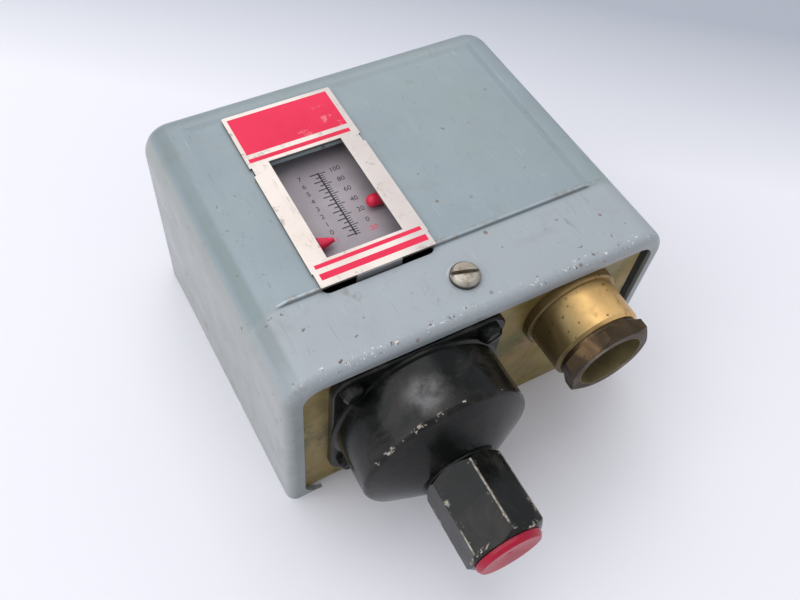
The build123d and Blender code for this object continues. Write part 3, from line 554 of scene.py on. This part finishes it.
def brass_aged(name="brass_aged", patina=0.45, bright=(0.50, 0.345, 0.150), left_shade=0.0, brown_level=1.0,
               bore_r=0.0):
    """Old turned brass: gold where handled, brown patina, pits.

    left_shade paints shade on the gland's left flank and collar, bore_r makes the gland's bore paler inside
    that radius."""
    p = Paint(name)
    gold = p.mix(p.spots(80, 5, 0.35, 0.7), tint(bright, 0.85), tint(bright, 1.12))
    browns = [tint(brown, brown_level) for brown in ((0.16, 0.100, 0.048), (0.22, 0.145, 0.075))]
    cloud = p.noise(105, 6, 0.6, (1, 0.7, 1), distort=0.7)
    patches = p.ramp(cloud, 0.66 - patina * 0.55, 0.86 - patina * 0.45)
    colour = p.mix(patches, gold, p.mix(p.noise(240, 4), *browns))
    if left_shade:
        # painted shade on the gland's left flank and, less, on its collar
        painted_flank = p.span(p.x, GLAND.x - 0.6, GLAND.x - 8.6)
        collar_shade = p.span(p.y, GLAND_FRONT_Y + 7.6, GLAND_FRONT_Y + 10.6)
        shade = p.times(p.most(painted_flank, p.times(collar_shade, 0.75)), left_shade)
        colour = p.mix(shade, colour, p.mix(p.noise(160, 4), (0.105, 0.088, 0.036), (0.17, 0.115, 0.05)))
    if bore_r:
        inside = p.span(p.ring(GLAND.x, GLAND.z), bore_r, bore_r + 0.1, (1.0, 0.0))
        colour = p.mix(inside, colour, p.mix(p.noise(140, 5), (0.17, 0.14, 0.065), (0.42, 0.34, 0.17)))
    pits = p.times(p.ramp(p.cells(520), 0.10, 0.22, (1.0, 0.0)), p.spots(150, 3, 0.44, 0.58))
    colour = p.mix(p.times(pits, 0.7), colour, (0.06, 0.035, 0.015))
    rough = p.blend(p.ramp(cloud, 0.35, 0.7), 0.34, 0.60)
    p.bump(p.plus(p.noise(700, 4), p.times(pits, -1.0)), 0.14, 0.2)
    return p.done(colour, rough, 0.75)


# ---------------------------------------------------------------- plastics, inks and floor
def red_plastic(name="red_plastic", light=(0.42, 0.005, 0.034), dark=(0.31, 0.004, 0.026)):
    """Moulded crimson plastic, slightly cloudy."""
    p = Paint(name)
    colour = p.mix(p.spots(140, 4, 0.3, 0.7), light, dark)
    rough = p.blend(p.noise(260, 4), 0.26, 0.42)
    p.bump(p.noise(500, 2), 0.08)
    return p.done(
        colour, rough, 0.0, Specular_IOR_Level=0.3,
        Subsurface_Weight=0.25, Subsurface_Radius=(0.004, 0.001, 0.001), Subsurface_Scale=0.6,
    )


def scale_grey():
    """Mauve-grey printed aluminium."""
    p = Paint("scale_grey")
    colour = p.mix(p.spots(90, 5, 0.35, 0.7), (0.315, 0.275, 0.295), (0.37, 0.33, 0.345))
    rough = p.blend(p.noise(220, 4), 0.42, 0.58)
    p.bump(p.noise(1000, 2), 0.05, 0.1)
    return p.done(colour, rough, 0.15)


def moulded(name, dark, light, rough_low, rough_high):
    """Phenolic, fibre, rubber or dyed plate: mottled, with a fine grain."""
    p = Paint(name)
    colour = p.mix(p.spots(170, 5, 0.35, 0.7), dark, light)
    dust = p.times(p.spots(80, 5, 0.5, 0.75), 0.3)
    colour = p.mix(dust, colour, (0.22, 0.20, 0.17))
    rough = p.blend(p.noise(300, 4), rough_low, rough_high)
    p.bump(p.noise(500, 3), 0.12)
    return p.done(colour, rough)


def ink(name, colour):
    """Printing ink, a little uneven."""
    p = Paint(name)
    shade = p.mix(p.spots(400, 3, 0.3, 0.7), colour, tint(colour, 1.7))
    rough = p.blend(p.noise(300, 3), 0.4, 0.55)
    return p.done(shade, rough)


def floor_paper():
    """Pale matt sheet, darker where it runs away from the light behind and to the right."""
    p = Paint("floor_paper")
    colour = p.mix(p.spots(2.2, 3, 0.3, 0.7), (0.80, 0.79, 0.825), (0.83, 0.82, 0.85))
    away = p.plus(p.times(p.x, 0.60), p.times(p.y, 0.80))
    colour = p.mix(p.span(away, 70, 155, smooth=False), colour, (0.40, 0.425, 0.475))
    rough = p.blend(p.noise(40, 3), 0.6, 0.75)
    p.bump(p.noise(1500, 2), 0.03, 0.1)
    return p.done(colour, rough, 0.0, Specular_IOR_Level=0.25)


MATERIALS = {
    "cover_paint": cover_paint(),
    "plate_print": plate_print(),
    "zinc_yellow": zinc_yellow(),
    "zinc_clear": zinc_clear(),
    "nickel": zinc_clear("nickel", (0.66, 0.64, 0.58)),
    "black_enamel": black_enamel(),
    "brass_aged": brass_aged(),
    "brass_clean": brass_aged("brass_clean", 0.12, (0.74, 0.55, 0.24)),
    "bronze": brass_aged("bronze", 0.2, (0.62, 0.36, 0.18)),
    "spring_steel": spring_steel(),
    "scale_grey": scale_grey(),
    "red_plastic": red_plastic(),
    "phenolic": moulded("phenolic", (0.022, 0.016, 0.013), (0.05, 0.035, 0.028), 0.25, 0.42),
    "fibre": moulded("fibre", (0.24, 0.075, 0.04), (0.34, 0.12, 0.06), 0.5, 0.7),
    "rubber_black": moulded("rubber_black", (0.015, 0.015, 0.015), (0.03, 0.03, 0.03), 0.6, 0.8),
    "green_steel": moulded("green_steel", (0.03, 0.20, 0.08), (0.05, 0.30, 0.13), 0.3, 0.5),
}
POINTER_RED = red_plastic("pointer_red", (0.80, 0.030, 0.085), (0.66, 0.020, 0.065))
RED_PRINT = red_print()
BLACK_INK = ink("black_ink", (0.018, 0.018, 0.022))
RED_INK = ink("red_ink", (0.55, 0.03, 0.08))

# single nodes whose finish differs from the rest of their slot
OWN_MATERIALS = {
    "gland_nut": brass_aged("brass_nut", 0.72, (0.15, 0.088, 0.038), brown_level=0.26, bore_r=NUT_HOLE_R),
    "gland_body": brass_aged("brass_body", 0.30, (0.76, 0.48, 0.185), left_shade=0.95),
    "cover_screw": cover_screw_zinc(),
    "cut_out_pointer_tip": POINTER_RED,
    "cut_in_pointer_tip": POINTER_RED,
}


def dress_nodes():
    """Every CAD node takes its own material, or else the material of its slot."""
    for entry in frame["record"]["subparts"]:
        name = entry["node"]
        materials = NODES[name].data.materials
        materials.clear()
        materials.append(OWN_MATERIALS.get(name, MATERIALS[entry["material_slot"]]))


# ---------------------------------------------------------------- printed graphics
INK_RISE = 0.03      # the ink's height above its plate, and its depth in it


def new_piece(name, mesh, material):
    """Turn a bmesh into an object with one material."""
    bmesh.ops.recalc_face_normals(mesh, faces=mesh.faces)
    data = bpy.data.meshes.new(name)
    mesh.to_mesh(data)
    mesh.free()
    data.materials.append(material)
    piece = bpy.data.objects.new(name, data)
    scene.collection.objects.link(piece)
    return piece


def add_ink(mesh, x0, x1, y0, y1, top):
    """A thin printed rectangle on a plate whose face is at top."""
    for vert in bmesh.ops.create_cube(mesh, size=1.0)["verts"]:
        x = x0 if vert.co.x < 0 else x1
        y = y0 if vert.co.y < 0 else y1
        z = top - INK_RISE if vert.co.z < 0 else top + INK_RISE
        vert.co = Vector((x, y, z)) * MM


def make_plate_bands():
    """Header panel and the three narrow bands of the nameplate."""
    far, near = PLATE_HIGH.y, PLATE_LOW.y
    # margin on the left, margin on the right, near edge, far edge
    bands = (
        (1.0, 1.4, far - 13.15, far - 1.1),
        (0.75, 1.75, far - 15.75, far - 14.55),
        (1.25, 1.15, near + 5.2, near + 6.25),
        (1.3, 1.1, near + 2.15, near + 3.8),
    )
    mesh = bmesh.new()
    for left, right, y0, y1 in bands:
        add_ink(mesh, PLATE_LOW.x + left, PLATE_HIGH.x - right, y0, y1, PLATE_HIGH.z)
    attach(new_piece("nameplate_bands", mesh, RED_PRINT), "cover")


SCALE_TOP = SCALE_HIGH.z
LINE_X = SCALE_LOW.x + 11.5                          # middle line of the double scale
FIRST_Y, LAST_Y = SCALE_LOW.y + 4.9, SCALE_LOW.y + 25.3
LEFT_ZERO, LEFT_UNIT = SCALE_LOW.y + 7.8, 2.46       # one unit of the left row
RIGHT_ZERO, RIGHT_UNIT = SCALE_LOW.y + 7.9, 3.4      # twenty units of the right row


def make_scale_marks():
    """The middle line, with half units to its left and fifths to its right."""
    mesh = bmesh.new()

    def tick(y, x0, x1, half_width):
        add_ink(mesh, x0, x1, y - half_width, y + half_width, SCALE_TOP)

    add_ink(mesh, LINE_X - 0.19, LINE_X + 0.19, FIRST_Y, LAST_Y, SCALE_TOP)
    for half in range(-2, 15):
        length = 2.1 if half % 2 == 0 else 1.1
        tick(LEFT_ZERO + half * LEFT_UNIT / 2, LINE_X - length, LINE_X, 0.16)
    for fifth in range(-4, 26):
        length = 1.9 if fifth % 5 == 0 else 1.1
        tick(RIGHT_ZERO + fifth * RIGHT_UNIT / 5, LINE_X, LINE_X + length, 0.11)
    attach(new_piece("scale_marks", mesh, BLACK_INK), "case")


def number_mesh(text, x, y):
    """The mesh of one printed number, centred on a place of the scale."""
    curve = bpy.data.curves.new("number", "FONT")
    curve.body = text
    curve.size = 1.9 * MM
    curve.align_x = "CENTER"
    curve.align_y = "CENTER"
    curve.extrude = INK_RISE * MM
    holder = bpy.data.objects.new("number", curve)
    scene.collection.objects.link(holder)
    holder.location = Vector((x, y, SCALE_TOP)) * MM
    bpy.context.view_layer.update()
    data = bpy.data.meshes.new_from_object(holder.evaluated_get(bpy.context.evaluated_depsgraph_get()))
    data.transform(holder.matrix_world)
    bpy.data.objects.remove(holder)
    return data


def make_numbers(name, items, x, material):
    """One column of numbers."""
    mesh = bmesh.new()
    for text, y in items:
        mesh.from_mesh(number_mesh(text, x, y))
    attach(new_piece(name, mesh, material), "case")


def make_scale_numbers():
    """Black numbers on both sides of the scale, with a red one below zero on each side."""
    left_x, right_x = LINE_X - 4.7, LINE_X + 4.3
    left = [(str(n), LEFT_ZERO + n * LEFT_UNIT) for n in range(8)]
    right = [(str(20 * n), RIGHT_ZERO + n * RIGHT_UNIT) for n in range(6)]
    make_numbers("scale_numbers_left", left, left_x, BLACK_INK)
    make_numbers("scale_numbers_right", right, right_x, BLACK_INK)
    make_numbers("scale_number_low_left", [("-1", LEFT_ZERO - LEFT_UNIT)], left_x, RED_INK)
    make_numbers("scale_number_low_right", [("-20", RIGHT_ZERO - 0.8 * RIGHT_UNIT)], right_x, RED_INK)


# ---------------------------------------------------------------- springs and bellows
MECH_Z = 29.3        # level of lever, rod and both springs
WIRE_SIDES = 12
TURN_STEPS = 40
END_TURNS = 0.8      # how much of a coil's first and last turn lies closed


def tube(mesh, points, radius):
    """A round wire along a line of points, with flat ends."""
    rings = []
    side = None
    last = len(points) - 1
    for i, here in enumerate(points):
        ahead = (points[min(i + 1, last)] - points[max(i - 1, 0)]).normalized()
        if side is None:
            side = ahead.orthogonal().normalized()
        side = (side - ahead * side.dot(ahead)).normalized()
        up = ahead.cross(side)
        angles = [2 * math.pi * k / WIRE_SIDES for k in range(WIRE_SIDES)]
        spokes = [math.cos(a) * side + math.sin(a) * up for a in angles]
        rings.append([mesh.verts.new(here + radius * spoke) for spoke in spokes])
    for low, high in zip(rings, rings[1:]):
        for k in range(WIRE_SIDES):
            beside = (k + 1) % WIRE_SIDES
            face = mesh.faces.new((low[k], low[beside], high[beside], high[k]))
            face.smooth = True
    mesh.faces.new(rings[0])
    mesh.faces.new(rings[-1])


def coil_points(x, coil_r, wire_r, y0, y1, turns):
    """The centre line of a coil from y0 to y1 whose end turns lie closed."""
    closed_pitch = 2.1 * wire_r
    open_pitch = (y1 - y0 - 2 * closed_pitch * END_TURNS) / (turns - 2 * END_TURNS)
    steps = int(turns * TURN_STEPS)
    points = []
    for i in range(steps + 1):
        turn = turns * i / steps
        if turn < END_TURNS:
            y = y0 + closed_pitch * turn
        elif turn > turns - END_TURNS:
            y = y1 - closed_pitch * (turns - turn)
        else:
            y = y0 + closed_pitch * END_TURNS + open_pitch * (turn - END_TURNS)
        angle = 2 * math.pi * turn
        points.append(Vector((x + coil_r * math.cos(angle), y, MECH_Z + coil_r * math.sin(angle))) * MM)
    return points


def stretch(piece, node, bodies, start_y, end_y):
    """Let a piece stand for a CAD node: hide the node and bake the piece's place into its mesh. Not used:
    bodies, start_y, end_y.
    """
    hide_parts(node)
    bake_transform(piece)


def make_spring(name, points, wire_r, foot_y, split, nut, top):
    """A spring in two pieces: one up to point split, one from there on."""
    still_y = points[split].y / MM
    lengths = (
        ("_foot", points[:split + 1], ("main_lever", "case"), foot_y, still_y - 0.6),
        ("_coil", points[split:], ("case", nut), still_y + 0.6, top),
    )
    for ending, line, bodies, start_y, end_y in lengths:
        mesh = bmesh.new()
        tube(mesh, line, (wire_r - 0.01) * MM)
        piece = new_piece(name + ending, mesh, MATERIALS["spring_steel"])
        stretch(piece, name, bodies, start_y, end_y)


def make_range_spring():
    """The extension spring, with its hook through the lever."""
    low, high = box_mm("range_spring")
    x = (low.x + high.x) / 2
    coil_r, wire_r = 4.75, 0.75
    top = high.y - wire_r
    start = low.y + 6.3
    hook = (
        (-1.7, low.y + 0.9), (-0.9, low.y + 0.78), (0, low.y + 0.9), (0, start - 4.2), (0, start - 1.8),
        (0.4, start - 0.8), (1.6, start - 0.2), (3.2, start - 0.05), (4.4, start),
    )
    points = [Vector((x + dx, y, MECH_Z)) * MM for dx, y in hook]
    points += coil_points(x, coil_r, wire_r, start, top, 7.0)
    split = len(hook) + int(2.5 * TURN_STEPS)
    make_spring("range_spring", points, wire_r, start + 0.2, split, "range_nut", top)


def make_differential_spring():
    """The compression spring between lever and nut."""
    low, high = box_mm("differential_spring")
    x = (low.x + high.x) / 2
    coil_r, wire_r = 3.7, 0.55
    top = high.y - wire_r
    points = coil_points(x, coil_r, wire_r, low.y + wire_r, top, 8.0)
    split = 3 * TURN_STEPS
    make_spring("differential_spring", points, wire_r, low.y + 1.6, split, "differential_nut", top)


def make_bellows():
    """The corrugated tube, its folds rounded."""
    low, high = box_mm("bellows")
    axis = middle("bellows")
    outer_r = (high.x - low.x) / 2
    depth, wall = 4.4, 0.3
    folds, steps, sides = 5, 80, 96
    outside = []
    for i in range(steps + 1):
        t = i / steps
        r = outer_r - depth * (0.5 + 0.5 * math.cos(2 * math.pi * folds * t))
        outside.append((r, high.y + (low.y - high.y) * t))
    loop = outside + [(r - wall, y) for r, y in reversed(outside)]
    mesh = bmesh.new()
    rings = []
    for k in range(sides):
        a = 2 * math.pi * k / sides
        ring = [Vector((axis.x + r * math.cos(a), y, axis.z + r * math.sin(a))) * MM for r, y in loop]
        rings.append([mesh.verts.new(point) for point in ring])
    for k in range(sides):
        here, there = rings[k], rings[(k + 1) % sides]
        for i in range(len(loop)):
            j = (i + 1) % len(loop)
            face = mesh.faces.new((here[i], here[j], there[j], there[i]))
            face.smooth = True
    piece = new_piece("bellows_folds", mesh, MATERIALS["bronze"])
    stretch(piece, "bellows", ("case", "push_rod"), high.y, low.y)


scene.view_settings.view_transform = "Standard"
dress_nodes()
make_camera()
make_floor()
make_light()
make_plate_bands()
make_scale_marks()
make_scale_numbers()
make_range_spring()
make_differential_spring()
make_bellows()
